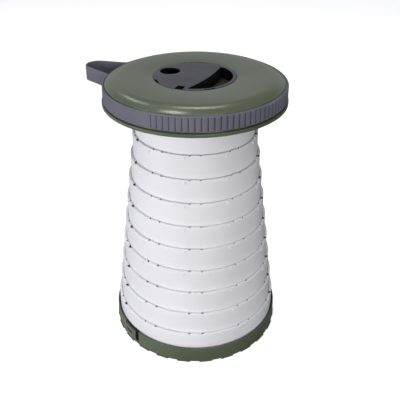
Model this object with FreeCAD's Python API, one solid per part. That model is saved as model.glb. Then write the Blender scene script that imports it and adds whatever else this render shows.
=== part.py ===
import FreeCAD, Part
import math
import os
from FreeCAD import Vector

# Telescopic stool, drawn pulled out to its full height, in millimetres.
# The origin is the centre of the stool on the floor, and +Z is up.
# The strap loop points along -X, and the finger opening of the seat lies towards +X.

# Stages: each ring slides in the next lower one, and the seat's tube is the innermost
ring_count = 10
stage_travel = 34.2
stage_overlap = 8.6
lowest_ring_radius = 122.4
ring_step = 4.1
ring_wall = 2.0
lip_height = 4.2
slide_gap = 0.3
stop_gap = 0.8

# Round walls and rods are drawn with flats, and a lug or a shelf is one flat wide
flat_count = 60
rod_flats = 12

# Lugs at a tube's lower edge, and the shelves that carry them once the tube is turned
lug_count = 5
lug_gap = 0.35
shelf_turn_flats = 2
shelf_thickness = 3.0
shelf_drop = 0.3
shelf_gap = 0.4

# Direction of the first lug, from which the others are spaced
lug_phase = -66.6

# Base: a shell whose ledge is clamped with the lowest ring's flange between two plates
foot_count = 24
foot_height = 1.6
foot_length = 19.0
foot_width = 9.0
foot_inset = 0.8
base_wall = 3.8
base_flare = 1.5
base_rim_height = 26.0
base_groove_width = 2.5
base_groove_floor = 11.0
base_plate_thickness = 1.4
base_plate_gap = 0.2
ledge_width = 5.7
ledge_thickness = 1.0
ring_flange_width = 3.0
ring_flange_thickness = 1.0
floor_plate_thickness = 1.2
floor_plate_gap = 0.3
fold_gap = 0.4
socket_gap = 0.3

# Slotted catch in the base rim
catch_azimuth = 240.3
catch_width = 28.4
catch_height = 15.5
catch_low = 5.5
catch_depth = 2.4
catch_proud = 0.9
catch_gap = 0.1
slot_length = 15.0
slot_height = 2.8
slot_depth = 2.0
notch_width = 6.6

# Screws and nuts that clamp the base, and screws under the seat
screw_count = 5
screw_radius = 2.0
screw_head_radius = 3.8
screw_head_height = 1.3
screw_gap = 0.05
spacer_radius = 6.0
nut_flats = 7.0
nut_height = 3.0
screw_end = 0.4
base_screw_circle = 66.0
seat_screw_skin = 0.9

# Seat
seat_skirt = 2.4
seat_lip_width = 1.8
seat_lip_height = 4.9
seat_plate = 3.6
seat_clearance = 4.1
dome_height = 5.6
dome_width = 20.6
dome_bands = 3
dome_edge = 1.0
seal_gap = 0.3
spigot_flange = 2.4
spigot_flange_gap = 2.45
cup_flange = 1.2
cup_flange_gap = 0.3

# Band round the seat: a ribbed piece and the belt of the carrying strap
band_gap = 0.1
band_thickness = 2.1
band_play = 0.15
belt_half_angle = 81.0
belt_joint = 0.3
rib_pitch = 3.6
rib_height = 1.6
rib_foot = 0.62
rib_crest = 0.40
strap_nose_overhang = 32.3
strap_nose_side = 6.6
strap_nose_radius = 17.8
strap_front_slope = 21.0
strap_rear_slope = 10.0

# Grip insert in the middle of the seat
insert_turn = -5.0
insert_radius = 57.3
insert_gap = 0.25
insert_plate = 3.0
insert_proud = 0.4
insert_rim = 5.2
cup_depth = 17.0
cup_wall = 2.4
bar_reach = 20.0
bar_bow = 5.0
bar_wall = 2.6
thumb_radius = 14.0
thumb_reach = 39.5
pry_notch_azimuth = 278.0
pry_notch_width = 10.0
pry_notch_depth = 9.5

# Levels and radii worked out from the sizes above
tube_height = stage_travel + stage_overlap
ledge_low = foot_height + base_plate_thickness
ledge_high = ledge_low + ledge_thickness
floor_plate_low = ledge_high + ring_flange_thickness
floor_plate_high = floor_plate_low + floor_plate_thickness
fold_height = floor_plate_high + fold_gap
fold_top = fold_height + tube_height
stage_total = ring_count * stage_travel
seat_lip_bottom = base_rim_height + seal_gap + stage_total
dome_level = fold_top + seat_clearance + stage_total
seat_top = dome_level + dome_height
seat_ceiling = seat_top - seat_plate
spigot_flange_top = seat_ceiling - cup_flange
spigot_flange_low = spigot_flange_top - spigot_flange
base_socket_radius = lowest_ring_radius + socket_gap
base_rim_radius = base_socket_radius + base_wall
base_bottom_radius = base_rim_radius + base_flare
skirt_radius = base_socket_radius + socket_gap
seat_edge_radius = skirt_radius + seat_skirt
seat_lip_radius = seat_edge_radius + seat_lip_width
cup_radius = insert_radius + insert_gap + cup_wall
spigot_inner_radius = lowest_ring_radius - ring_count * ring_step - ring_wall
seat_screw_circle = (cup_radius + spigot_inner_radius) / 2
flat_angle = 360.0 / flat_count


def tube_radius(index):
    return lowest_ring_radius - (ring_count - index) * ring_step


def tube_bottom(index):
    return fold_height + (ring_count - index) * stage_travel


def at(radius, azimuth, z=0.0):
    angle = math.radians(azimuth)
    return Vector(radius * math.cos(angle), radius * math.sin(angle), z)


def turned(shape, azimuth):
    copy = shape.copy()
    copy.rotate(Vector(0, 0, 0), Vector(0, 0, 1), azimuth)
    return copy


def face_of(edges):
    return Part.Face(Part.Wire(edges))


def polygon(points):
    return Part.Face(Part.makePolygon(list(points) + [points[0]]))


def flat_ring(corner, next_corner, edges):
    """Faces that one side of a (radius, height) outline sweeps between neighbouring edges."""
    (r, z), (next_r, next_z) = corner, next_corner
    if r == next_r == 0:
        return []
    faces = []
    for edge, next_edge in zip(edges, edges[1:]):
        points = [at(r, edge, z), at(next_r, edge, next_z)]
        points += [at(next_r, next_edge, next_z), at(r, next_edge, z)]
        if r == 0 or next_r == 0:
            points.pop(0 if r == 0 else 1)
        faces.append(polygon(points))
    return faces


def swept(points, first_flat=0, flats=flat_count):
    """Solid of flats round the Z axis from (radius, height) corners, the first flat at the lugs."""
    start = lug_phase + (first_flat - 0.5) * flat_angle
    edges = [start + n * flat_angle for n in range(flats + 1)]
    faces = []
    for corner, next_corner in zip(points, points[1:] + points[:1]):
        faces += flat_ring(corner, next_corner, edges)
    if flats < flat_count:
        faces += [polygon([at(r, edge, z) for r, z in points]) for edge in (edges[0], edges[-1])]
    shell = Part.makeShell(faces)
    shell.sewShape()
    solid = Part.makeSolid(shell)
    if solid.Volume < 0:
        solid.reverse()
    return solid.removeSplitter()


def sector(inner, outer, low, high, middle, width):
    """Round block between two radii and two levels, width degrees wide."""
    corners = [(inner, low), (outer, low), (outer, high), (inner, high)]
    profile = polygon([Vector(r, 0, z) for r, z in corners])
    block = profile.revolve(Vector(0, 0, 0), Vector(0, 0, 1), width)
    return turned(block, middle - width / 2)


def cylinder(radius, low, high, centre=Vector(0, 0, 0)):
    return Part.makeCylinder(radius, high - low, centre + Vector(0, 0, low))


def rod(radius, low, high, centre=Vector(0, 0, 0)):
    corners = [at(radius, 360.0 * n / rod_flats, low) + centre for n in range(rod_flats)]
    return polygon(corners).extrude(Vector(0, 0, high - low))


def joined(shapes):
    return shapes[0].multiFuse(shapes[1:]).removeSplitter()


def tube_walls(index, bottom):
    """Tube with a bevelled lip that leans in over the lugs of the next smaller tube."""
    outer = tube_radius(index)
    top = tube_bottom(index) + tube_height
    corners = [
        (outer - ring_wall, bottom),
        (outer, bottom),
        (outer, top),
        (outer - ring_step + slide_gap, top),
        (outer - ring_wall, top - lip_height),
    ]
    return swept(corners)


def lugs(index):
    """Wedges at the lower edge, parallel to the bevel of the lip above them."""
    outer = tube_radius(index)
    bottom = tube_bottom(index)
    reach = outer + ring_step - ring_wall - lug_gap
    slope = lip_height / (ring_step - ring_wall - slide_gap)
    shoulder = bottom + stage_overlap - lip_height - stop_gap + slope * lug_gap
    root = bottom + stage_overlap - stop_gap + slope * slide_gap
    corners = [
        (outer - ring_wall / 2, bottom),
        (reach, bottom),
        (reach, shoulder),
        (outer, root),
        (outer - ring_wall / 2, root),
    ]
    lug = swept(corners, 0, 1)
    return [turned(lug, n * 360.0 / lug_count) for n in range(lug_count)]


def shelves(index):
    """Ledges inside a ring, beside the paths of the lugs, that carry them after a turn."""
    outer = tube_radius(index)
    inner = outer - ring_step + shelf_gap
    high = tube_bottom(index) + stage_travel - shelf_drop
    low = high - shelf_thickness
    middle = outer - ring_wall / 2
    shelf = swept([(inner, low), (middle, low), (middle, high), (inner, high)], shelf_turn_flats, 1)
    return [turned(shelf, n * 360.0 / lug_count) for n in range(lug_count)]


def screw(centre, face_level, tip_level):
    """Pan-head screw driven upwards, with its head under the given face."""
    head = rod(screw_head_radius, face_level - screw_head_height, face_level, centre)
    return head.fuse(rod(screw_radius, face_level, tip_level, centre))


def drilled(shape, circle):
    """The shape with a hole right through at each screw of the circle."""
    low = shape.BoundBox.ZMin
    high = shape.BoundBox.ZMax
    holes = [rod(screw_radius + screw_gap, low, high, place) for place in screw_places(circle)]
    return shape.cut(Part.Compound(holes))


def screw_places(circle):
    return [at(circle, lug_phase + n * 360.0 / screw_count) for n in range(screw_count)]


def make_feet():
    middle = base_bottom_radius - foot_inset - foot_width / 2
    block = Part.makeBox(foot_width, foot_length, foot_height)
    block.translate(Vector(middle - foot_width / 2, -foot_length / 2, 0))
    pads = [turned(block, n * 360.0 / foot_count) for n in range(foot_count)]
    return Part.Compound(pads)


def make_base_shell():
    socket = base_socket_radius
    shell = swept([
        (socket, foot_height),
        (base_bottom_radius, foot_height),
        (base_rim_radius, base_rim_height),
        (socket + base_groove_width, base_rim_height),
        (socket + base_groove_width, base_groove_floor),
        (socket, base_groove_floor),
        (socket, ledge_high),
        (socket - ledge_width, ledge_high),
        (socket - ledge_width, ledge_low),
        (socket, ledge_low),
    ])
    return shell.cut(catch_recess())


def make_base_plate():
    radius = base_socket_radius - base_plate_gap
    plate = swept([(0, foot_height), (radius, foot_height), (radius, ledge_low), (0, ledge_low)])
    return drilled(plate, base_screw_circle)


def make_floor_plate():
    """Plate over the ring's flange, with a spacer under it at each screw."""
    radius = lowest_ring_radius - ring_wall - floor_plate_gap
    low = floor_plate_low
    high = floor_plate_high
    plate = swept([(0, low), (radius, low), (radius, high), (0, high)])
    places = screw_places(base_screw_circle)
    spacers = [rod(spacer_radius, ledge_low, floor_plate_low, place) for place in places]
    return drilled(joined([plate] + spacers), base_screw_circle)


def make_base_nuts():
    corner = nut_flats / math.sqrt(3)
    hexagon = polygon([at(corner, 60 * n, floor_plate_high) for n in range(6)])
    nuts = []
    for place in screw_places(base_screw_circle):
        nut = hexagon.extrude(Vector(0, 0, nut_height))
        nut = nut.cut(rod(screw_radius + screw_gap, floor_plate_high, floor_plate_high + nut_height))
        nut.translate(place)
        nuts.append(nut)
    return Part.Compound(nuts)


def catch_block(width, middle, low, high, proud):
    """Block on the base wall, as wide as given in millimetres along the rim."""
    inner = base_rim_radius - catch_depth
    sweep = math.degrees(width / base_rim_radius)
    return sector(inner, base_rim_radius + proud, low, high, middle, sweep)


def catch_recess():
    shift = math.degrees(notch_width / 2 / base_rim_radius)
    wide = catch_width + 2 * catch_gap + notch_width
    reach = base_bottom_radius
    recess = catch_block(wide, catch_azimuth + shift, catch_low - catch_gap, base_rim_height, reach)
    return recess


def make_base_catch():
    high = catch_low + catch_height
    block = catch_block(catch_width, catch_azimuth, catch_low, high, catch_proud)
    block.translate(at(catch_gap, catch_azimuth))
    outer = base_rim_radius + catch_proud
    middle = (catch_low + high) / 2
    sweep = math.degrees(slot_length / outer)
    slot = sector(outer - slot_depth, outer + slot_depth, middle - slot_height / 2,
                  middle + slot_height / 2, catch_azimuth, sweep)
    return block.cut(slot)


def make_lowest_ring():
    """Fixed ring, with a narrow flange inwards at its foot."""
    inner = tube_radius(ring_count) - ring_wall
    flange = swept([
        (inner - ring_flange_width, ledge_high),
        (inner + ring_wall / 2, ledge_high),
        (inner + ring_wall / 2, floor_plate_low),
        (inner - ring_flange_width, floor_plate_low),
    ])
    return joined([tube_walls(ring_count, ledge_high), flange] + shelves(ring_count))


def make_ring(index):
    return joined([tube_walls(index, tube_bottom(index))] + lugs(index) + shelves(index))


def dome_corners():
    """Corners along the arc that falls from the flat of the seat to its edge."""
    radius = (dome_width ** 2 + dome_height ** 2) / (2 * dome_height)
    sweep = 2 * math.atan(dome_height / dome_width)
    flat_end = seat_edge_radius - dome_width
    corners = []
    for n in range(dome_bands + 1):
        angle = sweep * n / dome_bands
        corners.append((flat_end + radius * math.sin(angle), seat_top - radius * (1 - math.cos(angle))))
    return corners


def make_seat_top():
    """Flat plate whose outer margin falls in an arc to the edge."""
    inner = insert_radius + insert_gap
    flat_end = seat_edge_radius - dome_width
    rest = [(skirt_radius, dome_level), (flat_end, seat_ceiling), (inner, seat_ceiling), (inner, seat_top)]
    return tapped(swept(dome_corners() + rest))


def tapped(shape):
    """The shape with a blind hole for each screw that comes up under the seat."""
    high = seat_top - seat_screw_skin
    low = shape.BoundBox.ZMin
    holes = [rod(screw_radius + screw_gap, low, high, place) for place in screw_places(seat_screw_circle)]
    return shape.cut(Part.Compound(holes))


def make_seat_rim():
    """Skirt under the seat's edge, with the lip that carries the band."""
    inner = skirt_radius
    shelf = seat_lip_bottom + seat_lip_height
    return swept([
        (inner, seat_lip_bottom),
        (seat_lip_radius, seat_lip_bottom),
        (seat_lip_radius, shelf),
        (seat_edge_radius, shelf),
        (seat_edge_radius, dome_level),
        (inner, dome_level),
    ])


def make_grip_cup():
    """Pan under the grip insert, held by its flange between the seat and its tube."""
    inner = insert_radius + insert_gap
    outer = cup_radius
    floor = seat_top - cup_depth
    flange = spigot_inner_radius - cup_flange_gap
    pan = swept([
        (0, floor - cup_wall),
        (outer, floor - cup_wall),
        (outer, spigot_flange_top),
        (flange, spigot_flange_top),
        (flange, seat_ceiling),
        (inner, seat_ceiling),
        (inner, floor),
        (0, floor),
    ])
    return tapped(pan)


def make_seat_spigot():
    """The seat's own tube, with an inner flange that is screwed to the seat's bosses."""
    outer = tube_radius(0)
    bottom = tube_bottom(0)
    inner = spigot_inner_radius
    flange = cup_radius + spigot_flange_gap
    walls = swept([
        (inner, bottom),
        (outer, bottom),
        (outer, seat_ceiling),
        (inner, seat_ceiling),
        (inner, spigot_flange_top),
        (flange, spigot_flange_top),
        (flange, spigot_flange_low),
        (inner, spigot_flange_low),
    ])
    return drilled(joined([walls] + lugs(0)), seat_screw_circle)


def make_screws(circle, face_level, tip_level):
    return Part.Compound([screw(place, face_level, tip_level) for place in screw_places(circle)])


def band_levels():
    low = seat_lip_bottom + seat_lip_height + band_play
    high = dome_level - dome_edge
    return low, high


def make_ribbed_band():
    """Band piece with upright ribs, over the part of the rim that the belt leaves free."""
    low, high = band_levels()
    inner = seat_edge_radius + band_gap
    valley = inner + band_thickness
    crest = valley + rib_height
    half = 180.0 - belt_half_angle - belt_joint
    rib_number = int(2 * half / rib_pitch)
    points = [at(inner, -half, low), at(valley, -half, low)]
    for n in range(rib_number):
        middle = (n - (rib_number - 1) / 2) * rib_pitch
        foot = rib_foot * rib_pitch / 2
        top = rib_crest * rib_pitch / 2
        points.append(at(valley, middle - foot, low))
        points.append(at(crest, middle - top, low))
        points.append(at(crest, middle + top, low))
        points.append(at(valley, middle + foot, low))
    points += [at(valley, half, low), at(inner, half, low)]
    edges = [Part.makeLine(a, b) for a, b in zip(points, points[1:])]
    edges.append(Part.Arc(points[-1], at(inner, 0, low), points[0]).toShape())
    return face_of(edges).extrude(Vector(0, 0, high - low))


def strap_outline(side, offset):
    """Points where a strand leaves the nose and the rim, seen from above."""
    slope = strap_front_slope if side < 0 else strap_rear_slope
    centre = Vector(-seat_edge_radius - strap_nose_overhang, strap_nose_side, 0)
    radius = strap_nose_radius - offset
    angle = math.radians(slope)
    normal = Vector(-math.sin(angle), side * math.cos(angle), 0)
    along = Vector(math.cos(angle), side * math.sin(angle), 0)
    leave = centre + normal * radius
    rim = seat_edge_radius + band_gap + band_thickness - offset
    reach = -leave.dot(along)
    root = leave + along * (reach - math.sqrt(rim ** 2 - leave.dot(leave) + reach ** 2))
    return leave, root


def make_carry_strap():
    """Smooth belt round the rim, drawn out into the carrying loop."""
    low, high = band_levels()
    inner_rim = seat_edge_radius + band_gap
    outer_rim = inner_rim + band_thickness
    nose = Vector(-seat_edge_radius - strap_nose_overhang, strap_nose_side, 0)
    half = belt_half_angle - belt_joint
    rims = []
    for offset, rim in ((0.0, outer_rim), (band_thickness, inner_rim)):
        front_leave, front_root = strap_outline(-1, offset)
        rear_leave, rear_root = strap_outline(1, offset)
        tip = nose + Vector(-(strap_nose_radius - offset), 0, 0)
        front_end = at(rim, 180 + half)
        rear_end = at(rim, 180 - half)
        front_angle = math.degrees(math.atan2(front_root.y, front_root.x)) % 360
        rear_angle = math.degrees(math.atan2(rear_root.y, rear_root.x)) % 360
        front_middle = at(rim, (front_angle + 180 + half) / 2)
        rear_middle = at(rim, (rear_angle + 180 - half) / 2)
        rims.append([
            Part.Arc(front_end, front_middle, front_root).toShape(),
            Part.makeLine(front_root, front_leave),
            Part.Arc(front_leave, tip, rear_leave).toShape(),
            Part.makeLine(rear_leave, rear_root),
            Part.Arc(rear_root, rear_middle, rear_end).toShape(),
        ])
    ends = [
        Part.makeLine(at(outer_rim, 180 - half), at(inner_rim, 180 - half)),
        Part.makeLine(at(inner_rim, 180 + half), at(outer_rim, 180 + half)),
    ]
    wire = Part.Wire(Part.__sortEdges__(rims[0] + rims[1] + ends))
    strap = Part.Face(wire).extrude(Vector(0, 0, high - low))
    strap.translate(Vector(0, 0, low))
    return strap


def opening_face(radius, edge_shift):
    """Finger opening: a circle cut off by the bowed edge of the grip bar."""
    reach = bar_reach + edge_shift
    half = math.sqrt(radius ** 2 - (reach - bar_bow) ** 2)
    low = Vector(reach - bar_bow, -half, 0)
    high = Vector(reach - bar_bow, half, 0)
    return face_of([
        Part.Arc(low, Vector(radius, 0, 0), high).toShape(),
        Part.Arc(high, Vector(reach, 0, 0), low).toShape(),
    ])


def make_grip_insert():
    """Round plate with a skirt, a finger opening, a thumb hole and a notch for prying it out."""
    top = seat_top + insert_proud
    under = top - insert_plate
    floor = seat_top - cup_depth
    plate = cylinder(insert_radius, under, top)
    skirt = cylinder(insert_radius, floor, top).cut(cylinder(insert_radius - insert_rim / 2, floor, top))
    bar = opening_face(insert_radius - insert_rim / 2, -bar_wall).cut(
        opening_face(insert_radius - insert_rim / 2, 0))
    bar = bar.extrude(Vector(0, 0, under - floor - screw_gap))
    bar.translate(Vector(0, 0, floor + screw_gap))
    insert = joined([plate, skirt, bar])
    opening = opening_face(insert_radius - insert_rim, 0).extrude(Vector(0, 0, 2 * insert_plate))
    opening.translate(Vector(0, 0, under - insert_plate / 2))
    insert = insert.cut(opening)
    insert = insert.cut(cylinder(thumb_radius, under - 1, top + 1, Vector(-thumb_reach, 0, 0)))
    notch = Part.makeBox(2 * pry_notch_depth, pry_notch_width, 2 * insert_plate)
    notch.translate(Vector(insert_radius - pry_notch_depth, -pry_notch_width / 2, under - insert_plate / 2))
    insert = insert.cut(turned(notch, pry_notch_azimuth))
    return turned(insert, insert_turn)


def save(name, shape):
    shape.exportStep("parts/" + name + ".step")
    print(name, "solids", len(shape.Solids), "valid", shape.isValid())


os.makedirs("parts", exist_ok=True)
save("foot_pads", make_feet())
save("base_shell", make_base_shell())
save("base_plate", make_base_plate())
save("floor_plate", make_floor_plate())
save("base_catch", make_base_catch())
nut_top = floor_plate_high + nut_height
save("base_screws", make_screws(base_screw_circle, foot_height, nut_top + screw_end))
save("base_nuts", make_base_nuts())
save("ring_%d" % ring_count, make_lowest_ring())
for number in range(1, ring_count):
    save("ring_%d" % number, make_ring(number))
save("seat_spigot", make_seat_spigot())
save("seat_top", make_seat_top())
save("seat_rim", make_seat_rim())
save("grip_cup", make_grip_cup())
seat_screw_tip = seat_top - seat_screw_skin - screw_end
save("seat_screws", make_screws(seat_screw_circle, spigot_flange_low, seat_screw_tip))
save("ribbed_band", make_ribbed_band())
save("carry_strap", make_carry_strap())
save("grip_insert", make_grip_insert())
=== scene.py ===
import math
import bpy
import bmesh
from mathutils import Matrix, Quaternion, Vector


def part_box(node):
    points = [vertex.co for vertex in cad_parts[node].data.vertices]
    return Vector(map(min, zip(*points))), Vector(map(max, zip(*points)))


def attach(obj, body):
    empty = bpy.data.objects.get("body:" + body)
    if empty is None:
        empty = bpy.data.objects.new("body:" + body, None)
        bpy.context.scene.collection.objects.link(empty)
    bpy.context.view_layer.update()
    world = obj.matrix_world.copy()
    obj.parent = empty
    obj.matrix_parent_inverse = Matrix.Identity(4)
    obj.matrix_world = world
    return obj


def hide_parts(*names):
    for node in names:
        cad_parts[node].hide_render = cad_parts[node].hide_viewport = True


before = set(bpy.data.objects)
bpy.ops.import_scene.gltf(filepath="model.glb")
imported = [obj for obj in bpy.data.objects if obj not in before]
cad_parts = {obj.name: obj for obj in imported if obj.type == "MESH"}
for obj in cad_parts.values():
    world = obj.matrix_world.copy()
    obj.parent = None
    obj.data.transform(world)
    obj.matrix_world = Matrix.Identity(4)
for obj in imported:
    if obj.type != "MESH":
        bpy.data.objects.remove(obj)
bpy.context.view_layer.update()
mm = 0.001
creaseDegrees = 32.0  # edges sharper than this stay sharp
weldMetres = 0.000002  # corners closer than this become one
filletShare = 0.49  # the most of a side that one fillet may take
softShare = 0.3  # how far the middle of a small rounding stays in from the sharp corner
print("frame loaded with", len(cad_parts), "nodes")


# small tools that every piece uses

def planSpot(radius, azimuth):  # a place seen from above, in millimetres
    turn = math.radians(azimuth)
    return Vector((radius * math.cos(turn), radius * math.sin(turn)))


def spot(radius, azimuth, height):  # millimetres and degrees in, metres out
    return Vector((*planSpot(radius, azimuth), height)) * mm


def turnedBy(x, y, degrees):  # a place seen from above, turned round Z
    turn = math.radians(degrees)
    return x * math.cos(turn) - y * math.sin(turn), x * math.sin(turn) + y * math.cos(turn)


def boxOf(node):  # lowest and highest corner in millimetres
    low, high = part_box(node)
    return low / mm, high / mm


def between(a, b, share):
    return a + (b - a) * share


def wrapped(angle):  # brings an angle into -180 to 180
    return (angle + 180.0) % 360.0 - 180.0


def easedStep(value, start, end):  # 0 before start, 1 after end, smooth between
    share = min(max((value - start) / (end - start), 0.0), 1.0)
    return share * share * (3.0 - 2.0 * share)


def everyDegrees(step, start=0.0, sweep=360.0):  # sweep may be negative; a full turn leaves out its end
    count = max(round(abs(sweep) / step), 1)
    last = count if sweep >= 360.0 else count + 1
    return [start + n * sweep / count for n in range(last)]


def roundedOutline(corners, steps=4):
    # corners are (across, up, fillet radius); each fillet becomes a short arc
    points = []
    count = len(corners)
    for index, (x, y, fillet) in enumerate(corners):
        here = Vector((x, y))
        if fillet <= 0:
            points.append((x, y))
            continue
        before = Vector(corners[index - 1][:2]) - here
        after = Vector(corners[(index + 1) % count][:2]) - here
        half = before.angle(after) / 2
        shorter = min(before.length, after.length)
        reach = min(fillet / math.tan(half), shorter * filletShare)
        radius = reach * math.tan(half)
        middle = here + (before.normalized() + after.normalized()).normalized() * radius / math.sin(half)
        start = here + before.normalized() * reach - middle
        end = here + after.normalized() * reach - middle
        for step in range(steps + 1):
            arm = start.slerp(end, step / steps).normalized() * radius
            points.append((middle.x + arm.x, middle.y + arm.y))
    return points


def skinLoops(mesh, loops, closed=False):
    # joins loops of corners with quads; a run that isn't closed gets its two ends filled
    pairs = list(zip(loops, loops[1:]))
    if closed:
        pairs.append((loops[-1], loops[0]))
    for here, there in pairs:
        for a in range(len(here)):
            b = (a + 1) % len(here)
            mesh.faces.new((here[a], there[a], there[b], here[b]))
    if not closed:
        mesh.faces.new(loops[0])
        mesh.faces.new(list(reversed(loops[-1])))


def turnedMesh(outlineAt, azimuths, closed=True):
    # sweeps an outline round Z; outlineAt(azimuth) gives the (radius, height) points in millimetres
    mesh = bmesh.new()
    loops = []
    for azimuth in azimuths:
        loops.append([mesh.verts.new(spot(r, azimuth, z)) for r, z in outlineAt(azimuth)])
    skinLoops(mesh, loops, closed)
    return mesh


def finishPiece(name, mesh, material, body, node, shadeMaterial=None, isShaded=None):
    # the last argument, a test of radius and height in millimetres, picks the faces that take the second
    # material, a darker finish painted on as shade
    bmesh.ops.remove_doubles(mesh, verts=mesh.verts, dist=weldMetres)
    bmesh.ops.recalc_face_normals(mesh, faces=mesh.faces)
    if shadeMaterial:
        for face in mesh.faces:
            middle = face.calc_center_median()
            face.material_index = int(isShaded(math.hypot(middle.x, middle.y) / mm, middle.z / mm))
    data = bpy.data.meshes.new(name)
    mesh.to_mesh(data)
    mesh.free()
    piece = bpy.data.objects.new(name, data)
    bpy.context.scene.collection.objects.link(piece)
    data.materials.append(material)
    if shadeMaterial:
        data.materials.append(shadeMaterial)
    data.shade_smooth()
    data.set_sharp_from_angle(angle=math.radians(creaseDegrees))
    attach(piece, body)
    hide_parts(node)


# materials

rampEnds = dict(
    colour=(0.35, 0.65),  # the part of a noise's range that runs from the darker to the lighter colour
    rough=(0.3, 0.7),  # the part that runs from the smoother to the rougher finish
    edge=(0.53, 0.62),  # how convex an edge is where wear starts and where it is full
)


def startMaterial(name):
    material = bpy.data.materials.new(name)
    material.use_nodes = True
    tree = material.node_tree
    tree.nodes.clear()
    shader = tree.nodes.new("ShaderNodeBsdfPrincipled")
    output = tree.nodes.new("ShaderNodeOutputMaterial")
    tree.links.new(shader.outputs["BSDF"], output.inputs["Surface"])
    place = tree.nodes.new("ShaderNodeTexCoord")
    return material, tree, shader, place


def noiseAt(tree, place, scale, detail=3.0, stretch=None):
    source = place.outputs["Object"]
    if stretch:
        mapping = tree.nodes.new("ShaderNodeMapping")
        mapping.inputs["Scale"].default_value = stretch
        tree.links.new(source, mapping.inputs["Vector"])
        source = mapping.outputs["Vector"]
    noise = tree.nodes.new("ShaderNodeTexNoise")
    noise.inputs["Scale"].default_value = scale
    noise.inputs["Detail"].default_value = detail
    tree.links.new(source, noise.inputs["Vector"])
    return noise.outputs["Fac"]


def rampBetween(tree, factor, low, high, ends):
    ramp = tree.nodes.new("ShaderNodeValToRGB")
    for element, colour, end in zip(ramp.color_ramp.elements, (low, high), ends):
        element.position = end
        element.color = (*colour, 1)
    tree.links.new(factor, ramp.inputs["Fac"])
    return ramp.outputs["Color"]


def spread(tree, factor, low, high):  # a noise factor brought into a range of roughness
    scaled = tree.nodes.new("ShaderNodeMapRange")
    start, end = rampEnds["rough"]
    for label, number in (("From Min", start), ("From Max", end), ("To Min", low), ("To Max", high)):
        scaled.inputs[label].default_value = number
    tree.links.new(factor, scaled.inputs["Value"])
    return scaled.outputs["Result"]


def bumpFrom(tree, factor, distance, strength, normal=None):
    bump = tree.nodes.new("ShaderNodeBump")
    bump.inputs["Distance"].default_value = distance
    bump.inputs["Strength"].default_value = strength
    tree.links.new(factor, bump.inputs["Height"])
    if normal:
        tree.links.new(normal, bump.inputs["Normal"])
    return bump.outputs["Normal"]


def wornEdges(tree, base, worn, amount):
    # lightens convex edges, as handling does
    geometry = tree.nodes.new("ShaderNodeNewGeometry")
    ramp = rampBetween(tree, geometry.outputs["Pointiness"], (0, 0, 0), (amount, amount, amount),
                       rampEnds["edge"])
    mix = tree.nodes.new("ShaderNodeMix")
    mix.data_type = "RGBA"
    mix.inputs["B"].default_value = (*worn, 1)
    tree.links.new(ramp, mix.inputs["Factor"])
    tree.links.new(base, mix.inputs["A"])
    return mix.outputs["Result"]


def mouldedPlastic(name, look):
    material, tree, shader, place = startMaterial(name)
    cloudy = noiseAt(tree, place, look["cloudScale"], detail=4.0)
    colour = rampBetween(tree, cloudy, look["dark"], look["light"], rampEnds["colour"])
    colour = wornEdges(tree, colour, look["worn"], look["wear"])
    tree.links.new(colour, shader.inputs["Base Color"])
    smudge = noiseAt(tree, place, look["smudgeScale"], detail=5.0)
    tree.links.new(spread(tree, smudge, look["roughLow"], look["roughHigh"]), shader.inputs["Roughness"])
    grain = noiseAt(tree, place, look["grainScale"], detail=2.0)
    grain = bumpFrom(tree, grain, look["grainDepth"], look["grainStrength"])
    flow = noiseAt(tree, place, look["flowScale"], stretch=look["flowStretch"])
    flow = bumpFrom(tree, flow, look["flowDepth"], look["flowStrength"], grain)
    tree.links.new(flow, shader.inputs["Normal"])
    shader.inputs["Specular IOR Level"].default_value = look["gloss"]
    shader.inputs["IOR"].default_value = 1.5
    return material


sageLook = dict(
    dark=(0.081, 0.104, 0.063),
    light=(0.094, 0.117, 0.073),
    worn=(0.16, 0.18, 0.14),
    wear=0.3,
    cloudScale=14.0,
    smudgeScale=26.0,
    roughLow=0.20,
    roughHigh=0.27,
    grainScale=1500.0,
    grainDepth=0.00001,
    grainStrength=0.25,
    flowScale=9.0,
    flowStretch=(1, 1, 3),
    flowDepth=0.0002,
    flowStrength=0.6,
    gloss=0.5,
)
sagePlastic = mouldedPlastic("sageMoulding", sageLook)

shellWhiteLook = dict(
    sageLook,
    dark=(0.77, 0.765, 0.80),
    light=(0.82, 0.815, 0.855),
    worn=(0.87, 0.87, 0.89),
    cloudScale=9.0,
    smudgeScale=30.0,
    roughLow=0.38,
    roughHigh=0.50,
    grainScale=1100.0,
    grainDepth=0.00002,
    grainStrength=0.2,
    flowScale=7.0,
    flowStretch=(1, 1, 5),
    gloss=0.4,
)
ringPlastic = mouldedPlastic("ringMoulding", shellWhiteLook)

slateLook = dict(
    sageLook,
    dark=(0.041, 0.040, 0.055),
    light=(0.050, 0.049, 0.066),
    worn=(0.11, 0.11, 0.13),
    wear=0.35,
    cloudScale=22.0,
    smudgeScale=40.0,
    roughLow=0.40,
    roughHigh=0.52,
    grainScale=1700.0,
    grainDepth=0.00003,
    grainStrength=0.4,
    flowScale=12.0,
    flowStretch=(1, 1, 1),
    flowDepth=0.0001,
    gloss=0.45,
)
slatePlastic = mouldedPlastic("slateMoulding", slateLook)
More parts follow.
